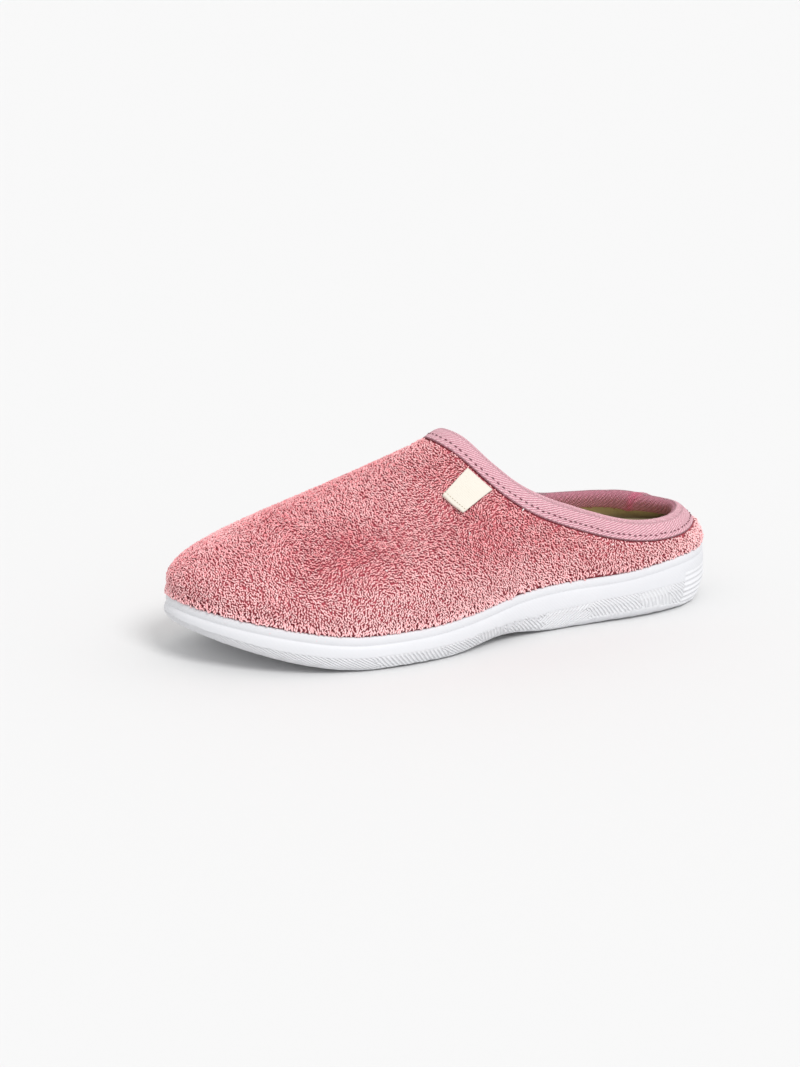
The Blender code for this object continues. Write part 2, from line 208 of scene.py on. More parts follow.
def mixColour(tree, amount, first, second):
    node = tree.nodes.new("ShaderNodeMix")
    node.data_type = "RGBA"
    for name, value in (("Factor", amount), ("A", first), ("B", second)):
        socket = [s for s in node.inputs if s.name == name and s.enabled][0]
        if isinstance(value, (int, float, tuple)):
            socket.default_value = value
        else:
            tree.links.new(value, socket)
    return [s for s in node.outputs if s.enabled][0]


def newGroup(name, inputs, outputs):
    group = bpy.data.node_groups.new(name, "ShaderNodeTree")
    for socket, kind, value in inputs:
        made = group.interface.new_socket(socket, in_out="INPUT", socket_type=kind)
        if value is not None:
            made.default_value = value
    for socket, kind in outputs:
        group.interface.new_socket(socket, in_out="OUTPUT", socket_type=kind)
    return group, group.nodes.new("NodeGroupInput"), group.nodes.new("NodeGroupOutput")


def placeGroup(tree, group, **values):
    node = tree.nodes.new("ShaderNodeGroup")
    node.node_tree = group
    for key, value in values.items():
        node.inputs[key.replace("_", " ")].default_value = value
    return node


def shade(colour, share):
    return tuple(min(1, share * part) for part in colour[:3]) + (1,)


def addBump(tree, shader, height, distance, strength=1.0):
    bump = tree.nodes.new("ShaderNodeBump")
    bump.inputs["Distance"].default_value = distance
    bump.inputs["Strength"].default_value = strength
    tree.links.new(height, bump.inputs["Height"])
    tree.links.new(bump.outputs[0], shader.inputs["Normal"])


def buildClothGroup():
    # soft variation of a dyed cloth: broad worn patches and fine fibre specks
    group, given, out = newGroup(
        "dyed cloth",
        [("Vector", "NodeSocketVector", None),
         ("Base", "NodeSocketColor", (0.5, 0.5, 0.5, 1)),
         ("Deep", "NodeSocketColor", (0.3, 0.3, 0.3, 1)),
         ("Pale", "NodeSocketColor", (0.8, 0.8, 0.8, 1)),
         ("Patch Size", "NodeSocketFloat", 60.0), ("Patches", "NodeSocketFloat", 0.3),
         ("Specks", "NodeSocketFloat", 0.3)],
        [("Color", "NodeSocketColor"), ("Height", "NodeSocketFloat")])
    patches = addNode(group, "ShaderNodeTexNoise", Detail=2.0)
    group.links.new(given.outputs["Vector"], patches.inputs["Vector"])
    group.links.new(given.outputs["Patch Size"], patches.inputs["Scale"])
    fibres = addNode(group, "ShaderNodeTexNoise", Scale=2600.0, Detail=2.0)
    group.links.new(given.outputs["Vector"], fibres.inputs["Vector"])
    broad = mathNode(group, "MULTIPLY", patches.outputs[0], given.outputs["Patches"])
    deeper = mixColour(group, broad, given.outputs["Base"], given.outputs["Deep"])
    fine = mathNode(group, "MULTIPLY", fibres.outputs[0], given.outputs["Specks"])
    group.links.new(mixColour(group, fine, deeper, given.outputs["Pale"]), out.inputs["Color"])
    group.links.new(fibres.outputs[0], out.inputs["Height"])
    return group


def buildTwillGroup():
    # slanting ridges and finer cross threads, measured in the vector's own units; the slant
    # turns over after each panel
    group, given, out = newGroup(
        "twill ridges",
        [("Vector", "NodeSocketVector", None), ("Pitch", "NodeSocketFloat", 0.001),
         ("Slant", "NodeSocketFloat", 1.0), ("Panel", "NodeSocketFloat", 1.0)],
        [("Ridge", "NodeSocketFloat"), ("Thread", "NodeSocketFloat")])
    parts = group.nodes.new("ShaderNodeSeparateXYZ")
    group.links.new(given.outputs["Vector"], parts.inputs[0])
    folded = mathNode(group, "PINGPONG", parts.outputs[0], given.outputs["Panel"])
    leaning = mathNode(group, "MULTIPLY", parts.outputs[1], given.outputs["Slant"])
    turns = mathNode(group, "DIVIDE", mathNode(group, "ADD", folded, leaning), given.outputs["Pitch"])
    wave = mathNode(group, "SINE", mathNode(group, "MULTIPLY", turns, 2 * math.pi))
    group.links.new(mathNode(group, "MULTIPLY_ADD", wave, 0.5), out.inputs["Ridge"])
    against = mathNode(group, "SUBTRACT", folded, leaning)
    cross = mathNode(group, "DIVIDE", against, given.outputs["Pitch"])
    weft = mathNode(group, "SINE", mathNode(group, "MULTIPLY", cross, 4 * math.pi))
    group.links.new(mathNode(group, "MULTIPLY_ADD", weft, 0.5), out.inputs["Thread"])
    return group


clothGroup = buildClothGroup()
twillGroup = buildTwillGroup()


fibre = {"patches": 0.3, "specks": 0.3, "bump": 0.0002, "strength": 0.6}


def clothMaterial(name, base, deep, pale, roughness):
    material, tree, shader = newMaterial(name, roughness)
    place = addNode(tree, "ShaderNodeTexCoord")
    cloth = placeGroup(tree, clothGroup, Base=base, Deep=deep, Pale=pale, Patches=fibre["patches"],
                       Specks=fibre["specks"])
    tree.links.new(place.outputs["Object"], cloth.inputs["Vector"])
    tree.links.new(cloth.outputs["Color"], shader.inputs["Base Color"])
    addBump(tree, shader, cloth.outputs["Height"], fibre["bump"], fibre["strength"])
    return material


terry = {
    "spacing": 0.00073, "candidates": 190000, "pieces": 6, "seed": 7,
    "loopLength": 0.00162, "loopWidth": 0.00068, "loopRise": 0.00085, "rootDrop": 0.0004,
    "curl": 0.00018, "twist": 0.00020, "twistRun": 2.6,
    # deep is painted shade toward the loops' roots and tip a painted highlight up their arches, also the pale
    # of their fibre specks; body is the dyed colour
    "deep": (0.22, 0.015, 0.028, 1), "body": (0.87, 0.200, 0.232, 1), "tip": (1.0, 0.68, 0.685, 1),
    # the ground lies this deep under the pile, less where the sole or the tape is near
    "sunk": 0.0009, "sunkGaps": (0.0006, 0.0040),
    # gaps that the ground's places, and then the loops, keep from other pieces
    "groundGaps": {"sole": 0.0007, "collar_binding": 0.0003, "label": 0.0005},
    "loopGaps": {"collar_binding": 0.0006, "label": 0.0006},
    # beside the sole's rim the loops are longer and stand out over it
    "rimOverhang": 0.0012, "rimGaps": (0.0008, 0.0040), "rimGrowth": 0.2,
    # a few specks of white lint caught in the pile, and how they lie
    "lint": ((0.012, 0.036, 0.050), (-0.018, 0.034, 0.056), (0.052, 0.034, 0.036), (-0.060, 0.034, 0.036)),
    "lintLean": 1.5, "lintScale": 0.8, "lintLift": 0.0007,
    # the loops lean toward the toe by these degrees, more between the two heights and forward
    # between the two places; waves of a size, and chance, change it, and the inner side mirrors it
    "lean": 8, "leanHigh": 30, "leanForward": 22, "wave": 38, "waveSize": 60, "chance": 17,
    "leanHeights": (0.024, 0.046), "leanPlaces": (-0.02, 0.03), "innerSide": -0.004,
    # centres where the pile swirls, and how far each reaches
    "swirls": ((0.072, 0.036, 0.030, 0.016), (0.016, 0.030, 0.052, 0.018), (0.095, 0.006, 0.048, 0.014),
               (0.030, -0.034, 0.045, 0.018), (-0.050, 0.036, 0.038, 0.014)),
}


def pileMaterial(name, deep, body, tip, sheen):
    material, tree, shader = newMaterial(name, 0.88, sheen, (1.0, 0.80, 0.80, 1), 0.15)
    tone = addNode(tree, "ShaderNodeAttribute", attribute_name="pile")
    parts = tree.nodes.new("ShaderNodeSeparateColor")
    tree.links.new(tone.outputs["Color"], parts.inputs[0])
    place = addNode(tree, "ShaderNodeTexCoord")
    cloth = placeGroup(tree, clothGroup, Base=body, Deep=shade(body, 0.8), Pale=tip, Patches=0.5,
                       Specks=0.25, Patch_Size=70.0)
    tree.links.new(place.outputs["Object"], cloth.inputs["Vector"])
    # the red share mixes from deep, painted shade at the roots, up to the cloth's colour
    lifted = mixColour(tree, parts.outputs[0], deep, cloth.outputs["Color"])
    # the green share lays the tip colour on as a painted highlight
    tipped = mixColour(tree, parts.outputs[1], lifted, tip)
    tree.links.new(tipped, shader.inputs["Base Color"])
    return material


def loopShape():
    # one terry loop: a slim closed arch with both ends down in the cloth
    shape = bmesh.new()
    bmesh.ops.create_uvsphere(shape, u_segments=4, v_segments=5, radius=1.0)
    bmesh.ops.triangulate(shape, faces=shape.faces)
    shape.verts.index_update()
    points = np.array([v.co for v in shape.verts])
    faces = np.array([[v.index for v in f.verts] for f in shape.faces])
    shape.free()
    return points, faces


besides = [(dx, dy, dz) for dx in (-1, 0, 1) for dy in (-1, 0, 1) for dz in (-1, 0, 1)]


def squaredGap(first, second):
    x, y, z = first[0] - second[0], first[1] - second[1], first[2] - second[2]
    return x * x + y * y + z * z


def scatter(piece, count, spacing, seed, keep):
    # even but unordered places on a surface, each at least a spacing from every other
    mesh = piece.data
    mesh.calc_loop_triangles()
    points = readPoints(mesh)
    triangles = np.empty(len(mesh.loop_triangles) * 3, np.int32)
    mesh.loop_triangles.foreach_get("vertices", triangles)
    corners = points[triangles.reshape(-1, 3)]
    cross = np.cross(corners[:, 1] - corners[:, 0], corners[:, 2] - corners[:, 0])
    area = np.linalg.norm(cross, axis=1)
    normals = cross / np.maximum(area, 1e-15)[:, None]
    centres = corners.mean(axis=1)
    area = np.where(keep(centres, normals), area, 0)
    dice = np.random.RandomState(seed)
    picked = np.searchsorted(np.cumsum(area) / area.sum(), dice.rand(count))
    u, v = np.sqrt(dice.rand(count)), dice.rand(count)
    mix = np.stack([1 - u, u * (1 - v), u * v], 1)
    places = np.einsum("ij,ijk->ik", mix, corners[picked])
    taken, chosen = {}, []
    cells = np.floor(places / spacing).astype(int).tolist()
    for index, (here, (cx, cy, cz)) in enumerate(zip(places.tolist(), cells)):
        others = (other for dx, dy, dz in besides for other in taken.get((cx + dx, cy + dy, cz + dz), ()))
        if all(squaredGap(here, other) >= spacing * spacing for other in others):
            taken.setdefault((cx, cy, cz), []).append(here)
            chosen.append(index)
    return places[chosen], normals[picked[chosen]]


def napAngles(places, dice):
    # how far each loop leans from straight up the side, toward the toe
    high = ease(places[:, 2], *terry["leanHeights"])
    forward = ease(places[:, 0], *terry["leanPlaces"])
    more = math.radians(terry["leanHigh"]) + forward * math.radians(terry["leanForward"])
    lean = math.radians(terry["lean"]) + high * more
    angles = lean * np.where(places[:, 1] > terry["innerSide"], 1.0, -1.0)
    wave = np.array([noise.noise(Vector(p) * terry["waveSize"]) for p in places])
    angles += wave * math.radians(terry["wave"]) + dice.normal(0, math.radians(terry["chance"]), len(places))
    for x, y, z, reach in terry["swirls"]:
        away = places - np.array([x, y, z])
        near = np.exp(-(np.linalg.norm(away, axis=1) / reach) ** 2)
        turn = np.arctan2(away[:, 2], away[:, 0]) + math.pi / 2
        angles = angles * (1 - near) + turn * near
    return angles


pile = {
    # how much length, width and height vary from loop to loop
    "lengths": (0.75, 1.25), "widths": (0.85, 1.2), "heights": (0.7, 1.3),
    # where the surface is more level than this, the nap starts from the heel's way, not from up
    "levelTop": 0.25,
    # share of the body's colour, the rest painted shade: least at the root, gained up the arch and on the
    # upper face as painted light; shades vary it from loop to loop
    "root": 0.40, "arch": 0.60, "face": 0.35, "shades": (0.38, 1.22),
    # share of the tip's colour, a painted highlight, gained the same way, and how it varies
    "highlightArch": 0.5, "highlightFace": 0.45, "tipLeast": 0.25, "tipChance": 0.75,
    # painted light makes the pile paler below the one height and behind the other place, painted shade makes
    # it darker on top, and worn patches vary it
    "paintedLightHeights": (0.020, 0.046), "paintedLightPlaces": (-0.090, -0.035), "topShadeHeights": (0.050, 0.078),
    "topShade": 0.10, "patchSize": 32, "patchBody": 0.10, "paintedLightBody": 0.08,
    "patchChance": 0.15, "paintedLightChance": 0.30, "patchTip": 0.12, "paintedLightTip": 0.16,
}


def growPile(name, places, normals, angles, scale, material, rise, dice, lift=None):
    points, faces = loopShape()
    count = len(places)
    up = np.array([0, 0, 1.0]) - normals * normals[:, 2:3]
    flat = np.linalg.norm(up, axis=1) < pile["levelTop"]
    up[flat] = np.array([-1.0, 0, 0]) - normals[flat] * -normals[flat][:, :1]
    up /= np.linalg.norm(up, axis=1)[:, None]
    along = np.cross(up, normals)
    along *= np.where(along[:, :1] < 0, -1, 1)
    nap = up * np.cos(angles)[:, None] + along * np.sin(angles)[:, None]
    side = np.cross(normals, nap)
    length = terry["loopLength"] * scale * dice.uniform(*pile["lengths"], count) / 2
    width = terry["loopWidth"] * scale * dice.uniform(*pile["widths"], count) / 2
    height = rise * dice.uniform(*pile["heights"], count)
    curl = dice.normal(0, terry["curl"], count) * scale
    twist = dice.normal(0, terry["twist"], count) * scale
    run = points[:, 2]
    arch = 1 - run * run
    bend = arch[None, :] * curl[:, None] + np.sin(run * terry["twistRun"])[None, :] * twist[:, None]
    push = 0 if lift is None else lift[:, None]
    co = (places[:, None, :]
          + nap[:, None, :] * (run[None, :] * length[:, None])[:, :, None]
          + side[:, None, :] * (points[None, :, 0] * width[:, None] + bend)[:, :, None]
          + normals[:, None, :] * (points[None, :, 1] * width[:, None] + arch[None, :] * height[:, None]
                                   - (1 - arch[None, :]) * terry["rootDrop"] + push)[:, :, None])
    mesh = bpy.data.meshes.new(name)
    mesh.vertices.add(count * len(points))
    mesh.vertices.foreach_set("co", co.astype(np.float32).ravel())
    index = (faces[None, :, :] + (np.arange(count) * len(points))[:, None, None]).reshape(-1, 3)
    mesh.loops.add(index.size)
    mesh.loops.foreach_set("vertex_index", index.astype(np.int32).ravel())
    mesh.polygons.add(len(index))
    mesh.polygons.foreach_set("loop_start", np.arange(0, index.size, 3, dtype=np.int32))
    mesh.update(calc_edges=True)
    shades = dice.uniform(*pile["shades"], count)[:, None]
    # painted shade toward the roots, painted light up the arch and on the upper face
    body = (pile["root"] + pile["arch"] * arch + pile["face"] * points[:, 1])[None, :] * shades
    # painted light: paler low down and toward the heel; painted shade: darker on top
    low = 1 - ease(places[:, 2], *pile["paintedLightHeights"])
    pale = np.maximum(low, 1 - ease(places[:, 0], *pile["paintedLightPlaces"]))
    patch = np.array([noise.noise(Vector(p) * pile["patchSize"]) for p in places])
    topShade = pile["topShade"] * ease(places[:, 2], *pile["topShadeHeights"])
    body = body * (1 - topShade + pile["patchBody"] * patch + pile["paintedLightBody"] * pale)[:, None]
    chance = pile["tipLeast"] + pile["tipChance"] * dice.rand(count)
    chance = chance + pile["paintedLightChance"] * pale + pile["patchChance"] * patch
    # painted highlight up the arch and on the upper face, varied at random and more where the pile is painted
    # paler
    lit = np.clip(arch * pile["highlightArch"] + points[:, 1] * pile["highlightFace"], 0, 1)
    tips = lit[None, :] * chance[:, None] + (pile["paintedLightTip"] * pale + pile["patchTip"] * patch)[:, None]
    colour = np.ones((count, len(points), 4), np.float32)
    colour[:, :, 0], colour[:, :, 1] = np.clip(body, 0, 1), np.clip(tips, 0, 1)
    layer = mesh.attributes.new("pile", "FLOAT_COLOR", "POINT")
    layer.data.foreach_set("color", colour.ravel())
    mesh.materials.append(material)
    mesh.shade_smooth()
    piece = bpy.data.objects.new(name, mesh)
    bpy.context.scene.collection.objects.link(piece)
    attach(piece, "root")


# the ground cloth under the loops is coloured darker than the loops, as painted shade in the gaps between
# them
shadowGroundMaterial = clothMaterial("terry ground", (0.42, 0.070, 0.095, 1), (0.28, 0.04, 0.055, 1),
                               (0.58, 0.16, 0.18, 1), 0.95)
liningMaterial = clothMaterial("lining cloth", (0.50, 0.42, 0.24, 1), (0.38, 0.31, 0.16, 1),
                               (0.66, 0.58, 0.38, 1), 0.92)
terryMaterial = pileMaterial("terry loops", terry["deep"], terry["body"], terry["tip"], 0.08)
# the lining's loops are the same pink cloth, coloured darker as painted shade inside the slipper
shadedLiningPileMaterial = pileMaterial("lining loops", (0.20, 0.03, 0.05, 1), (0.46, 0.11, 0.14, 1),
                                  (0.70, 0.30, 0.33, 1), 0.2)

ground = refine(makePiece("terry_ground", copyOf("upper"), shadowGroundMaterial, "upper"), 1)
ground.data.materials.append(liningMaterial)
groundPoints, groundNormals = readPoints(ground.data), readNormals(ground.data)
cadTrees = {name: treeOf(node) for name, node in cadNodes.items()}


def gapTo(nodeName, points, far=0.02):
    tree = cadTrees[nodeName]
    found = [tree.find_nearest(Vector(p), far) for p in points]
    return np.array([far if hit[0] is None else hit[3] for hit in found])


outside = outwardOf(groundPoints, groundNormals) > 0
covered = np.minimum(gapTo("collar_binding", groundPoints), gapTo("sole", groundPoints))
sink = terry["sunk"] * ease(covered, *terry["sunkGaps"]) * outside
writePoints(ground.data, groundPoints - groundNormals * sink[:, None])
for face in ground.data.polygons:
    face.material_index = 0 if outside[list(face.vertices)].sum() * 2 > len(face.vertices) else 1


def clearOf(points, gaps):
    return np.all([gapTo(name, points) > gap for name, gap in gaps.items()], axis=0)


def onOutside(centres, normals):
    return (outwardOf(centres, normals) > 0) & clearOf(centres, terry["groundGaps"])


dice = np.random.RandomState(terry["seed"])
places, normals = scatter(ground, terry["candidates"], terry["spacing"], terry["seed"], onOutside)
clear = clearOf(places, terry["loopGaps"])
places, normals = places[clear], normals[clear]
atRim = 1 - ease(gapTo("sole", places), *terry["rimGaps"])
angles = napAngles(places, dice)
for index, part in enumerate(np.array_split(np.argsort(places[:, 0]), terry["pieces"])):
    growPile(f"terry_loops_{index + 1}", places[part], normals[part], angles[part],
             1 + terry["rimGrowth"] * atRim[part], terryMaterial, terry["loopRise"], dice,
             atRim[part] * terry["rimOverhang"])
print("terry", len(places), "loops")

lintMaterial = pileMaterial("lint", (0.80, 0.78, 0.76, 1), (0.90, 0.89, 0.87, 1), (0.95, 0.95, 0.94, 1), 0.1)
lint = [int(np.argmin(np.linalg.norm(places - np.array(spot), axis=1))) for spot in terry["lint"]]
growPile("lint_specks", places[lint], normals[lint],
         dice.uniform(-terry["lintLean"], terry["lintLean"], len(lint)),
         np.full(len(lint), terry["lintScale"]), lintMaterial, terry["loopRise"], dice,
         np.full(len(lint), terry["lintLift"]))

lining = {
    "candidates": 24000, "spacing": 0.00125, "seed": 11, "lean": 1.2, "scale": 0.65, "rise": 0.0006,
    # only in a narrow strip along the tape, and behind this place
    "strip": 0.0013, "front": 0.012, "gaps": {"insole": 0.0004, "collar_binding": 0.0003},
}


def onLining(centres, normals):
    inStrip = (centres[:, 0] < lining["front"]) & (gapTo("collar_binding", centres) < lining["strip"])
    return (outwardOf(centres, normals) < 0) & inStrip & clearOf(centres, lining["gaps"])


liningPlaces, liningNormals = scatter(ground, lining["candidates"], lining["spacing"], lining["seed"],
                                      onLining)
growPile("lining_loops", liningPlaces, liningNormals,
         dice.uniform(-lining["lean"], lining["lean"], len(liningPlaces)),
         np.full(len(liningPlaces), lining["scale"]), shadedLiningPileMaterial, lining["rise"], dice)
print("lining", len(liningPlaces), "loops")


tape = {
    "pitch": 0.0021, "slant": -2.0,
    "stitchDown": 0.0059, "stitchPitch": 0.0027, "stitchLength": 0.0017, "stitchWidth": 0.00028,
    # the upper's edge under the tape: within this gap of it, turning more than these degrees,
    # and carried this far out, to the tape's outer face
    "edgeGap": 0.0010, "edgeTurn": 50, "edgeOut": 0.0008,
    # dimples at the stitches, a swell along the strip's middle and a soft unevenness
    "pucker": 0.00026, "puckerReach": 0.0009, "puckerFloor": 0.6, "crown": 0.00022, "crownDown": 0.0038,
    "crownReach": 0.0022, "uneven": 0.00012, "unevenSize": 130, "innerShare": 0.6,
    # the ridge where the two ends lap, on the inner strip
    "lapPlace": (-0.1060, -0.0175, 0.042), "lapLean": 0.8, "lapWidth": 0.0019, "lapRise": 0.0008,
    "lapDown": 0.0030, "lapEdge": 0.0005,
    # colours, and how strongly each one shows; the twill's dips, the inner strip and the lap are darkened as
    # painted shade
    "base": (0.90, 0.54, 0.60, 1), "deep": (0.82, 0.40, 0.47, 1), "pale": (0.94, 0.74, 0.77, 1),
    "valleyShade": (0.50, 0.10, 0.18, 1), "valleyShare": 0.95, "valleyPower": 2.5,
    "inner": (0.38, 0.085, 0.14, 1), "innerShade": 0.88, "innerFrom": -0.0012,
    "fold": (0.50, 0.055, 0.14, 1), "knot": (0.92, 0.66, 0.70, 1), "knotShare": 0.25,
    "bump": 0.00045, "bumpStrength": 0.9, "knotRise": 0.4,
}


def collarEdge():
    # the upper's sharp outer edge under the tape, from the heel along the outer side and back
    shape = copyOf("upper")
    beside = {}
    for edge in shape.edges:
        seats = [cadTrees["collar_binding"].find_nearest(end.co, tape["edgeGap"])[0] for end in edge.verts]
        if None not in seats and edge.calc_face_angle() > math.radians(tape["edgeTurn"]):
            for end in edge.verts:
                beside.setdefault(end, []).append(edge.other_vert(end))
    start = min(beside, key=lambda corner: corner.co.x)
    loop = [start, max(beside[start], key=lambda corner: corner.co.y)]
    while loop[-1] != start:
        loop.append([corner for corner in beside[loop[-1]] if corner != loop[-2]][0])
    knots = []
    for corner in loop[:-1]:
        linked = [edge.other_vert(corner) for edge in corner.link_edges]
        across = [other.co - corner.co for other in linked if other in beside and other not in beside[corner]]
        inward = min(across, key=lambda step: step.length)
        knots.append(tuple(corner.co - inward.normalized() * tape["edgeOut"]))
    shape.free()
    return knots


collarLine = ClosedLine(collarEdge(), 6)


def tapeMaterial():
    material, tree, shader = newMaterial("twill tape", 0.72, 0.1, (1.0, 0.88, 0.89, 1), 0.25)
    place = addNode(tree, "ShaderNodeUVMap", uv_map="strip")
    ridges = round(collarLine.length / tape["pitch"])
    twill = placeGroup(tree, twillGroup, Pitch=collarLine.length / ridges, Slant=tape["slant"],
                       Panel=2 * collarLine.length)
    tree.links.new(place.outputs[0], twill.inputs["Vector"])
    spot = addNode(tree, "ShaderNodeTexCoord")
    cloth = placeGroup(tree, clothGroup, Base=tape["base"], Deep=tape["deep"], Pale=tape["pale"],
                       Patches=0.45, Specks=0.25)
    tree.links.new(spot.outputs["Object"], cloth.inputs["Vector"])
    # the twill's dips are darkened as painted shade
    valleyShade = mathNode(tree, "SUBTRACT", 1.0, twill.outputs["Ridge"])
    valleyShade = mathNode(tree, "POWER", valleyShade, tape["valleyPower"])
    valleyShade = mathNode(tree, "MULTIPLY", valleyShade, tape["valleyShare"])
    colour = mixColour(tree, valleyShade, cloth.outputs["Color"], tape["valleyShade"])
    parts = tree.nodes.new("ShaderNodeSeparateXYZ")
    tree.links.new(place.outputs[0], parts.inputs[0])
    # the inner strip is darkened as painted shade
    inner = mathNode(tree, "LESS_THAN", parts.outputs[1], tape["innerFrom"])
    colour = mixColour(tree, mathNode(tree, "MULTIPLY", inner, tape["innerShade"]), colour, tape["inner"])
    # the lap is darkened as painted shade in its fold
    fold = addNode(tree, "ShaderNodeAttribute", attribute_name="lap")
    colour = mixColour(tree, fold.outputs["Fac"], colour, tape["fold"])
    knot = mathNode(tree, "MULTIPLY", twill.outputs["Thread"], tape["knotShare"])
    tree.links.new(mixColour(tree, knot, colour, tape["knot"]), shader.inputs["Base Color"])
    raised = mathNode(tree, "MULTIPLY", twill.outputs["Thread"], tape["knotRise"])
    height = mathNode(tree, "ADD", twill.outputs["Ridge"], raised)
    addBump(tree, shader, height, tape["bump"], tape["bumpStrength"])
    return material


binding = refine(makePiece("binding_tape", copyOf("collar_binding"), tapeMaterial(),
                           "collar_binding"), 2)
tapePoints, tapeNormals = readPoints(binding.data), readNormals(binding.data)
tapeAlong, tapeDown = collarLine.locate(tapePoints)


def onTapeOutside():
    # the back of the inner strip looks outward too, but a ray from it meets the outer strip
    clear, reach = 0.0004, 0.008
    outer = outwardOf(tapePoints, tapeNormals) > 0
    for index in np.flatnonzero(outer):
        start, ahead = Vector(tapePoints[index]), Vector(tapeNormals[index])
        hit = cadTrees["collar_binding"].ray_cast(start + ahead * clear, ahead, reach)
        outer[index] = hit[0] is None
    return outer


tapeOut = onTapeOutside()
tapeFar = np.where(tapeOut, tapeDown, -tapeDown)


def bellOf(distance, reach):
    return np.exp(-(distance / reach) ** 2)


def shapeTape():
    waves = np.cos(2 * np.pi * tapeAlong / tape["stitchPitch"])
    dip = bellOf(tapeDown - tape["stitchDown"], tape["puckerReach"])
    dip = dip * (tape["puckerFloor"] + (1 - tape["puckerFloor"]) * waves)
    crown = bellOf(tapeDown - tape["crownDown"], tape["crownReach"])
    swell = np.array([noise.noise(Vector(p) * tape["unevenSize"]) for p in tapePoints])
    lapAlong = collarLine.locate([tape["lapPlace"]])[0][0]
    lap = bellOf(tapeAlong - lapAlong - tape["lapLean"] * (tapeFar + tape["lapDown"]), tape["lapWidth"])
    lap = lap * (1 - ease(tapeFar, tape["lapEdge"], tape["lapDown"]))
    rise = crown * tape["crown"] - dip * tape["pucker"] + swell * tape["uneven"]
    rise = rise * np.where(tapeOut, 1, tape["innerShare"]) + lap * tape["lapRise"]
    shaped = tapePoints + tapeNormals * rise[:, None]
    writePoints(binding.data, shaped)
    writeUv(binding.data, tapeAlong, tapeFar, collarLine.length)
    layer = binding.data.attributes.new("lap", "FLOAT", "POINT")
    layer.data.foreach_set("value", lap.astype(np.float32))
    return shaped


tapePoints = shapeTape()


def threadMaterial(name, base, deep):
    return clothMaterial(name, base, deep, shade(base, 1.4), 0.7)


threadShape = {"lift": 0.00005, "flat": 0.7}


def addStitch(shape, middle, ahead, normal, length, width):
    points, faces = loopShape()
    side = normal.cross(ahead).normalized()
    verts = []
    for px, py, pz in points:
        rise = py * width * threadShape["flat"] + (1 - pz * pz) * width + threadShape["lift"]
        spot = middle + ahead * (pz * length / 2) + side * (px * width) + normal * rise
        verts.append(shape.verts.new(spot))
    for face in faces:
        shape.faces.new([verts[corner] for corner in face])


def stitchTape():
    # short threads on the outside of the tape, at one distance below its edge
    fromAbove, sideways, nearest, depthWeight = 0.006, 0.001, 12, 1.5
    seats, normals = tapePoints[tapeOut], readNormals(binding.data)[tapeOut]
    along, far, tree = tapeAlong[tapeOut], tapeDown[tapeOut], treeOf(binding)
    half = collarLine.length / 2
    shape = bmesh.new()
    for turn in np.arange(0, collarLine.length, tape["stitchPitch"]):
        away = np.abs((along - turn + half) % collarLine.length - half)
        near = np.argsort(away + depthWeight * np.abs(far - tape["stitchDown"]))[:nearest]
        out = Vector(normals[near].mean(axis=0)).normalized()
        seat = tree.ray_cast(Vector(seats[near].mean(axis=0)) + out * fromAbove, -out, 2 * fromAbove)
        if seat[0] is None:
            continue
        ahead = Vector(collarLine.at(turn + sideways)) - Vector(collarLine.at(turn - sideways))
        ahead.normalize()
        ahead = (ahead - seat[1] * ahead.dot(seat[1])).normalized()
        addStitch(shape, seat[0], ahead, seat[1], tape["stitchLength"], tape["stitchWidth"])
    bmesh.ops.recalc_face_normals(shape, faces=shape.faces)
    makePiece("tape_stitches", shape, stitchMaterial)


stitchMaterial = threadMaterial("stitch thread", (0.17, 0.055, 0.075, 1), (0.09, 0.03, 0.04, 1))
stitchTape()
print("tape")


sole = {
    # the last share on the next line makes the ribbed band paler, as painted light
    "ribPitch": 0.0020, "longPitch": 0.0024, "ribDepth": 0.0003, "ribStep": 0.0003, "bandPaintedLight": 0.16,
    # tops of the ribs as shares of the side's height: along the sides, with a gain toward the
    # back between two places, and round the heel
    "bandTop": 0.42, "bandGain": 0.06, "gainPlaces": (-0.06, 0.0), "bandTopHeel": 0.66,
    # where the long ribs of the heel start, and how that edge leans
    "heelPanel": -0.098, "heelCurve": 0.10,
    # where each panel of ribs ends along the sole, and how its ribs lean
    "panels": ((0.062, 1.3), (0.031, 0.5), (0.013, 1.3), (-0.002, 0.5), (-0.022, 1.4), (-0.046, -0.9),
               (-0.071, 1.5), (-0.088, 0.8), (-0.300, 1.5)),
    # the panels' edges zigzag over shares of the band's height, and each panel's ribs are shifted
    "zigzagHeight": 0.35, "zigzagDepth": 0.014, "panelShift": 0.37,
    # the ribs start above the tread between these shares, and end below their tops
    "foot": (0.02, 0.06), "end": (0.94, 1.0),
    # the side is measured in this many directions, this far in from the outline
    "directions": 160, "rimDepth": 0.0065,
    # heights between which the side is evened out; then what the ribs cover, and a little more
    # above them and past the heel panel, is divided
    "evened": (0.03, 0.385), "divided": 0.01, "spare": 0.05, "heelSpare": 0.006, "cuts": 3,
}


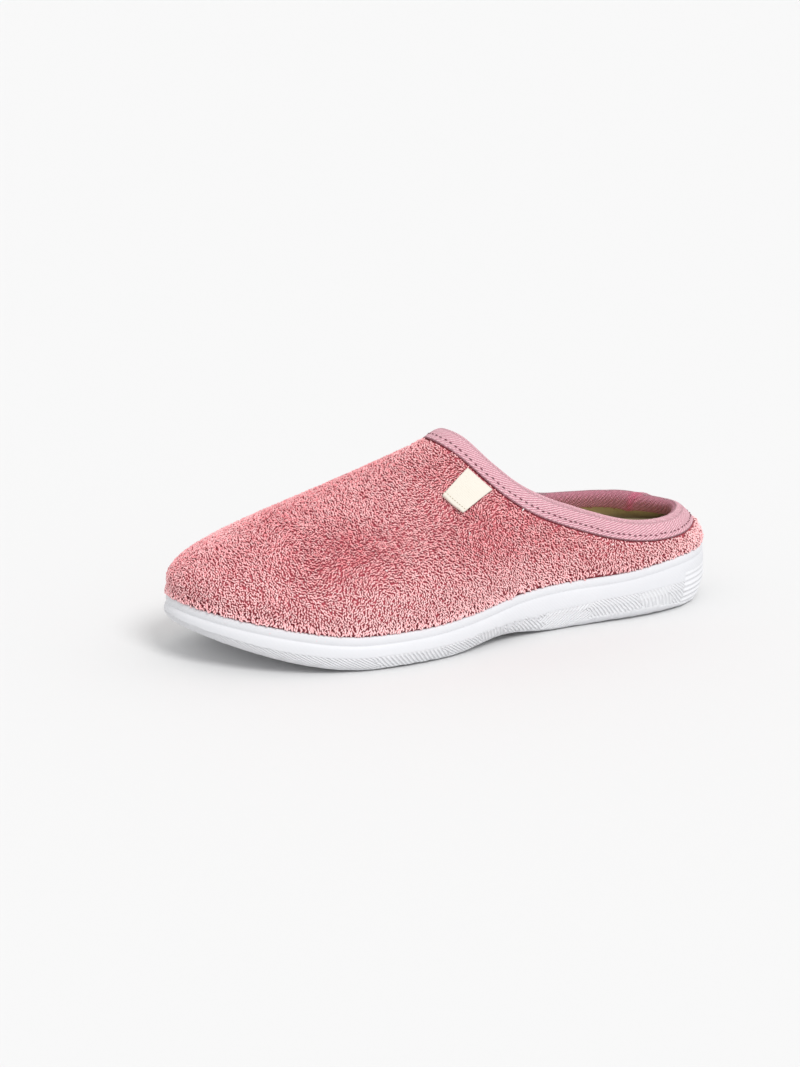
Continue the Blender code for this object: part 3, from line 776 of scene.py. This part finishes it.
def measureSide(points):
    # way round the sole, whether a point is on its side, share of the side's height, and girth
    count = sole["directions"]
    angle = np.arctan2(points[:, 1], points[:, 0])
    radius = np.hypot(points[:, 0], points[:, 1])
    bins = np.floor((angle + np.pi) / (2 * np.pi) * count).astype(int) % count
    middle = -np.pi + (np.arange(count) + 0.5) * 2 * np.pi / count

    def inEach(values, pick):
        return np.array([pick(part) if len(part) else np.nan for part in values])

    reach = inEach([radius[bins == step] for step in range(count)], np.max)
    good = ~np.isnan(reach)
    reach = np.interp(middle, middle[good], reach[good], period=2 * np.pi)
    ring = np.stack([reach * np.cos(middle), reach * np.sin(middle)], 1)
    steps = np.linalg.norm(np.roll(ring, -1, axis=0) - ring, axis=1)
    around = np.append(middle, middle[0] + 2 * np.pi)
    along = np.interp(angle, around, np.concatenate([[0], np.cumsum(steps)]))
    near = radius > np.interp(angle, middle, reach, period=2 * np.pi) - sole["rimDepth"]
    levels = [points[near & (bins == step), 2] for step in range(count)]
    top, low = inEach(levels, np.max), inEach(levels, np.min)
    good = ~np.isnan(top)
    top = np.interp(angle, middle[good], top[good], period=2 * np.pi)
    low = np.interp(angle, middle[good], low[good], period=2 * np.pi)
    return along, near, (points[:, 2] - low) / np.maximum(top - low, 1e-6), steps.sum()


def addRibs(tree):
    # slanting ribs in wedge panels along the sides, and long ribs round the heel; their dips give the bump
    # and a painted shade
    def multiply(first, second):
        return mathNode(tree, "MULTIPLY", first, second)

    def add(first, second):
        return mathNode(tree, "ADD", first, second)

    strip = addNode(tree, "ShaderNodeUVMap", uv_map="strip")
    flat = tree.nodes.new("ShaderNodeSeparateXYZ")
    tree.links.new(strip.outputs[0], flat.inputs[0])
    place = tree.nodes.new("ShaderNodeSeparateXYZ")
    tree.links.new(addNode(tree, "ShaderNodeTexCoord").outputs["Object"], place.inputs[0])
    tread = tree.nodes.new("ShaderNodeSeparateXYZ")
    shares = addNode(tree, "ShaderNodeAttribute", attribute_name="tread")
    tree.links.new(shares.outputs["Vector"], tread.inputs[0])
    u, v, x = flat.outputs[0], flat.outputs[1], place.outputs[0]
    rise, heelRise, wall = tread.outputs[0], tread.outputs[1], tread.outputs[2]
    zigzag = multiply(mathNode(tree, "PINGPONG", rise, sole["zigzagHeight"]), sole["zigzagDepth"])
    bent = add(x, zigzag)
    slant, shift = sole["panels"][0][1], 0.0
    for (edge, before), (_, after) in zip(sole["panels"], sole["panels"][1:]):
        past = mathNode(tree, "LESS_THAN", bent, edge)
        slant = add(slant, multiply(past, after - before))
        shift = add(shift, multiply(past, sole["panelShift"]))
    run = mathNode(tree, "DIVIDE", add(u, multiply(v, slant)), sole["ribPitch"])
    short = mathNode(tree, "COSINE", multiply(add(run, shift), 2 * math.pi))
    longs = mathNode(tree, "COSINE", multiply(v, 2 * math.pi / sole["longPitch"]))
    heel = mathNode(tree, "LESS_THAN", add(x, multiply(v, sole["heelCurve"])), sole["heelPanel"])
    side = mathNode(tree, "SUBTRACT", 1.0, heel)
    inBand = multiply(mathNode(tree, "LESS_THAN", rise, 1.0), side)
    inHeel = multiply(mathNode(tree, "LESS_THAN", heelRise, 1.0), heel)
    ribs = add(multiply(short, inBand), multiply(longs, inHeel))
    inside = multiply(add(inBand, inHeel), wall)
    dip = multiply(mathNode(tree, "MULTIPLY_ADD", ribs, 0.5), wall)
    return multiply(dip, inside), inside


def ribDip(points, u, height, bandTop, near):
    # the same ribs as addRibs, for the mesh
    x, v = points[:, 0], points[:, 2]
    rise, fold = height / bandTop, sole["zigzagHeight"]
    bent = x + sole["zigzagDepth"] * (fold - np.abs(np.mod(rise, 2 * fold) - fold))
    slant, shift = np.full(len(x), sole["panels"][0][1]), np.zeros(len(x))
    for (edge, before), (_, after) in zip(sole["panels"], sole["panels"][1:]):
        slant += (bent < edge) * (after - before)
        shift += (bent < edge) * sole["panelShift"]
    short = np.cos(2 * np.pi * ((u + v * slant) / sole["ribPitch"] + shift))
    longs = np.cos(2 * np.pi * v / sole["longPitch"])
    heel = x + v * sole["heelCurve"] < sole["heelPanel"]
    inSide = (1 - ease(rise, *sole["end"])) * ~heel
    inHeel = (1 - ease(height / sole["bandTopHeel"], *sole["end"])) * heel
    dip = (0.5 + 0.5 * (short * inSide + longs * inHeel)) * (inSide + inHeel)
    return dip * ease(height, *sole["foot"]) * near


def soleMaterial():
    material, tree, shader = newMaterial("moulded foam", 0.5, 0.0, (1, 1, 1, 1), 0.4)
    shader.inputs["Subsurface Weight"].default_value = 0.08
    shader.inputs["Subsurface Radius"].default_value = (0.004, 0.004, 0.004)
    place = addNode(tree, "ShaderNodeTexCoord")
    stains = addNode(tree, "ShaderNodeTexNoise", Scale=45.0, Detail=3.0)
    tree.links.new(place.outputs["Object"], stains.inputs["Vector"])
    colour = mixColour(tree, stains.outputs[0], (0.67, 0.675, 0.70, 1), (0.63, 0.635, 0.66, 1))
    dip, inside = addRibs(tree)
    # the ribbed band is made paler as painted light
    paler = mathNode(tree, "MULTIPLY", inside, sole["bandPaintedLight"])
    colour = mixColour(tree, paler, colour, (1.0, 1.0, 1.0, 1))
    # the rib dips are darkened as painted shade
    ribShade = mathNode(tree, "MULTIPLY", mathNode(tree, "POWER", dip, 3.0), 0.12)
    tree.links.new(mixColour(tree, ribShade, colour, (0.50, 0.51, 0.55, 1)), shader.inputs["Base Color"])
    knurl = placeGroup(tree, twillGroup, Pitch=0.0018, Slant=1.0, Panel=10.0)
    tree.links.new(addNode(tree, "ShaderNodeUVMap", uv_map="strip").outputs[0], knurl.inputs["Vector"])
    skin = addNode(tree, "ShaderNodeTexNoise", Scale=1400.0, Detail=2.0)
    tree.links.new(place.outputs["Object"], skin.inputs["Vector"])
    dots = mathNode(tree, "MULTIPLY", knurl.outputs["Ridge"], knurl.outputs["Thread"])
    rough = mathNode(tree, "MULTIPLY", dots, 0.12)
    rough = mathNode(tree, "ADD", rough, mathNode(tree, "MULTIPLY", skin.outputs[0], 0.04))
    addBump(tree, shader, mathNode(tree, "SUBTRACT", rough, dip), sole["ribDepth"], 0.8)
    return material


def buildSole():
    shape = copyOf("sole")
    _, near, height, _ = measureSide(np.array([v.co for v in shape.verts]))
    low, high = sole["evened"]
    shape.verts.ensure_lookup_table()
    evened = [shape.verts[i] for i in np.flatnonzero(near & (height > low) & (height < high))]
    for _ in range(2):
        bmesh.ops.smooth_vert(shape, verts=evened, factor=0.5, use_axis_x=True, use_axis_y=True,
                              use_axis_z=False)
    piece = refine(makePiece("foam_sole", shape, soleMaterial(), "sole"), 1)
    shape = bmesh.new()
    shape.from_mesh(piece.data)
    points = np.array([v.co for v in shape.verts])
    _, near, height, _ = measureSide(points)
    atHeel = points[:, 0] < sole["heelPanel"] + sole["heelSpare"]
    reach = np.where(atHeel, sole["bandTopHeel"], sole["bandTop"] + sole["bandGain"]) + sole["spare"]
    band = set(np.flatnonzero(near & (height > sole["divided"]) & (height < reach)))
    edges = [edge for edge in shape.edges if all(end.index in band for end in edge.verts)]
    bmesh.ops.subdivide_edges(shape, edges=edges, cuts=sole["cuts"], use_grid_fill=True)
    shape.to_mesh(piece.data)
    shape.free()
    points, normals = readPoints(piece.data), readNormals(piece.data)
    along, near, height, girth = measureSide(points)
    bandTop = sole["bandTop"] + sole["bandGain"] * (1 - ease(points[:, 0], *sole["gainPlaces"]))
    dip = ribDip(points, along, height, bandTop, near) * sole["ribStep"]
    writePoints(piece.data, points - normals * dip[:, None])
    wall = ease(height, *sole["foot"]) * near
    tread = np.stack([height / bandTop, height / sole["bandTopHeel"], wall], 1)
    layer = piece.data.attributes.new("tread", "FLOAT_VECTOR", "POINT")
    layer.data.foreach_set("vector", tread.astype(np.float32).ravel())
    writeUv(piece.data, along, points[:, 2], girth)


buildSole()
print("sole")


def weaveMaterial(name, base, deep, pale, pitch, roughness, bump):
    material, tree, shader = newMaterial(name, roughness, 0.2, (1, 1, 1, 1), 0.2)
    place = addNode(tree, "ShaderNodeTexCoord")
    weave = placeGroup(tree, twillGroup, Pitch=pitch, Slant=1.0, Panel=10.0)
    tree.links.new(place.outputs["Object"], weave.inputs["Vector"])
    cloth = placeGroup(tree, clothGroup, Base=base, Deep=deep, Pale=pale, Patches=0.5, Specks=0.3)
    tree.links.new(place.outputs["Object"], cloth.inputs["Vector"])
    tree.links.new(mixColour(tree, mathNode(tree, "MULTIPLY", weave.outputs["Thread"], 0.35),
                             cloth.outputs["Color"], deep), shader.inputs["Base Color"])
    threads = mathNode(tree, "ADD", weave.outputs["Ridge"], weave.outputs["Thread"])
    addBump(tree, shader, threads, bump, fibre["strength"])
    return material


footbedMaterial = weaveMaterial("footbed cloth", (0.55, 0.48, 0.28, 1), (0.42, 0.36, 0.19, 1),
                                (0.70, 0.63, 0.43, 1), 0.0009, 0.85, 0.0001)
cadNodes["insole"].data.materials.clear()
cadNodes["insole"].data.materials.append(footbedMaterial)

label = {
    # the free edge is folded back as a hem, soft at its ends, with small creases
    "hem": 0.0021, "hemRise": 0.0005, "hemStart": (-0.0003, 0.0004), "hemSoft": 0.0003,
    "crease": 0.35, "creaseRun": 0.0012,
    # the free corners lift between these places down the tab and across it
    "curl": 0.0009, "curlDown": (0.010, 0.019), "curlAcross": (0.001, 0.007),
    "stitchPitch": 0.0013, "stitchShare": 0.6, "stitchWidth": 0.00016, "stitchReach": 0.0056,
    # a loose thread end at one corner: its place from the free edge and across, and its bow
    "endPlace": (0.0010, -0.0060), "endBow": 0.0008, "endParts": 6, "endLength": 0.0007, "endWidth": 0.00012,
    # middles of the edge under the tape and of the free edge, and the way out of the cloth
    "top": (-0.0004, 0.0221, 0.0679), "free": (0.0160, 0.0282, 0.0599), "out": (0.36, 0.70, 0.62),
}
labelMaterial = weaveMaterial("label cloth", (0.72, 0.685, 0.615, 1), (0.64, 0.59, 0.50, 1),
                              (0.78, 0.755, 0.70, 1), 0.0011, 0.75, 0.0001)
hemThread = threadMaterial("hem thread", (0.42, 0.34, 0.24, 1), (0.30, 0.23, 0.15, 1))


def buildLabel():
    piece = refine(makePiece("woven_label", copyOf("label"), labelMaterial, "label"), 3, True)
    points = readPoints(piece.data)
    top, run = np.array(label["top"]), np.array(label["free"]) - np.array(label["top"])
    length = np.linalg.norm(run)
    run /= length
    out = np.array(label["out"]) / np.linalg.norm(label["out"])
    over = np.cross(out, run)
    down, across = (points - top) @ run, (points - top) @ over
    fromFree = length - down
    hemEnd = 1 - ease(fromFree, label["hem"] - label["hemSoft"], label["hem"])
    hem = ease(fromFree, *label["hemStart"]) * hemEnd
    corner = ease(down, *label["curlDown"]) * ease(np.abs(across), *label["curlAcross"])
    crease = 1 - label["crease"] * np.cos(across / label["creaseRun"])
    rise = hem * label["hemRise"] * crease + corner * label["curl"]
    writePoints(piece.data, points + out * rise[:, None])
    return treeOf(piece), top, run, over, out, length


def stitchLabel(tree, top, run, over, out, length):
    fromAbove = 0.004
    shape = bmesh.new()
    for step in np.arange(-label["stitchReach"], label["stitchReach"] + 0.0001, label["stitchPitch"]):
        spot = Vector(top + run * (length - label["hem"]) + over * step + out * fromAbove)
        seat = tree.ray_cast(spot, Vector(-out), 2 * fromAbove)
        if seat[0] is not None:
            addStitch(shape, seat[0], Vector(over), Vector(out), label["stitchPitch"] * label["stitchShare"],
                      label["stitchWidth"])
    back, aside = label["endPlace"]
    corner = tree.find_nearest(Vector(top + run * (length - back) + over * aside + out * 0.001))[0]
    for turn in np.linspace(0, math.pi, label["endParts"]):
        lean = Vector(run) * math.cos(turn) + Vector(out) * math.sin(turn)
        ahead = Vector(run) * -math.sin(turn) + Vector(out) * math.cos(turn)
        addStitch(shape, corner + lean * label["endBow"], ahead, Vector(over), label["endLength"],
                  label["endWidth"])
    bmesh.ops.recalc_face_normals(shape, faces=shape.faces)
    makePiece("label_stitches", shape, hemThread)


stitchLabel(*buildLabel())
print("footbed and label")


view = {
    "azimuth": 28.33, "elevation": 14.33, "distance": 0.950, "target": (0.03126, 0.01141, 0.04577),
    # the focal length and the picture's height are in the photo's pixels, the film in millimetres
    "focal": 2308.5, "pictureHeight": 1067, "film": 36, "farthest": 200,
}


def aimCamera():
    turn, tilt = math.radians(view["azimuth"]), math.radians(view["elevation"])
    back = Vector((math.sin(turn) * math.cos(tilt), math.cos(turn) * math.cos(tilt), math.sin(tilt)))
    lens = bpy.data.cameras.new("camera")
    lens.sensor_fit = "VERTICAL"
    lens.sensor_height = lens.sensor_width = view["film"]
    lens.lens = view["focal"] / view["pictureHeight"] * view["film"]
    lens.clip_end = view["farthest"]
    camera = bpy.data.objects.new("camera", lens)
    camera.location = Vector(view["target"]) + back * view["distance"]
    camera.rotation_euler = (-back).to_track_quat("-Z", "Y").to_euler()
    bpy.context.scene.collection.objects.link(camera)
    bpy.context.scene.camera = camera


studio = {
    "floorHalf": 40, "floorParts": 8, "floorColour": (0.715, 0.715, 0.715, 1), "sky": (1, 1, 1, 1),
    "skyStrength": 0.93, "sun": 1.75, "sunWay": (0.02, -0.72, -0.70), "sunSoftness": 22,
}


def layFloor():
    shape = bmesh.new()
    bmesh.ops.create_grid(shape, x_segments=studio["floorParts"], y_segments=studio["floorParts"],
                          size=studio["floorHalf"])
    mesh = bpy.data.meshes.new("floor")
    shape.to_mesh(mesh)
    shape.free()
    floor = bpy.data.objects.new("floor", mesh)
    bpy.context.scene.collection.objects.link(floor)
    material, _, shader = newMaterial("pale floor", 0.9)
    shader.inputs["Base Color"].default_value = studio["floorColour"]
    mesh.materials.append(material)


def lightStudio():
    world = bpy.data.worlds.new("studio")
    bpy.context.scene.world = world
    world.use_nodes = True
    world.node_tree.nodes["Background"].inputs[0].default_value = studio["sky"]
    world.node_tree.nodes["Background"].inputs[1].default_value = studio["skyStrength"]
    light = bpy.data.lights.new("key", "SUN")
    light.energy = studio["sun"]
    light.angle = math.radians(studio["sunSoftness"])
    lamp = bpy.data.objects.new("key", light)
    lamp.rotation_euler = Vector(studio["sunWay"]).to_track_quat("-Z", "Y").to_euler()
    bpy.context.scene.collection.objects.link(lamp)
    bpy.context.scene.view_settings.view_transform = "Standard"


aimCamera()
layFloor()
lightStudio()
print("camera, floor and light")
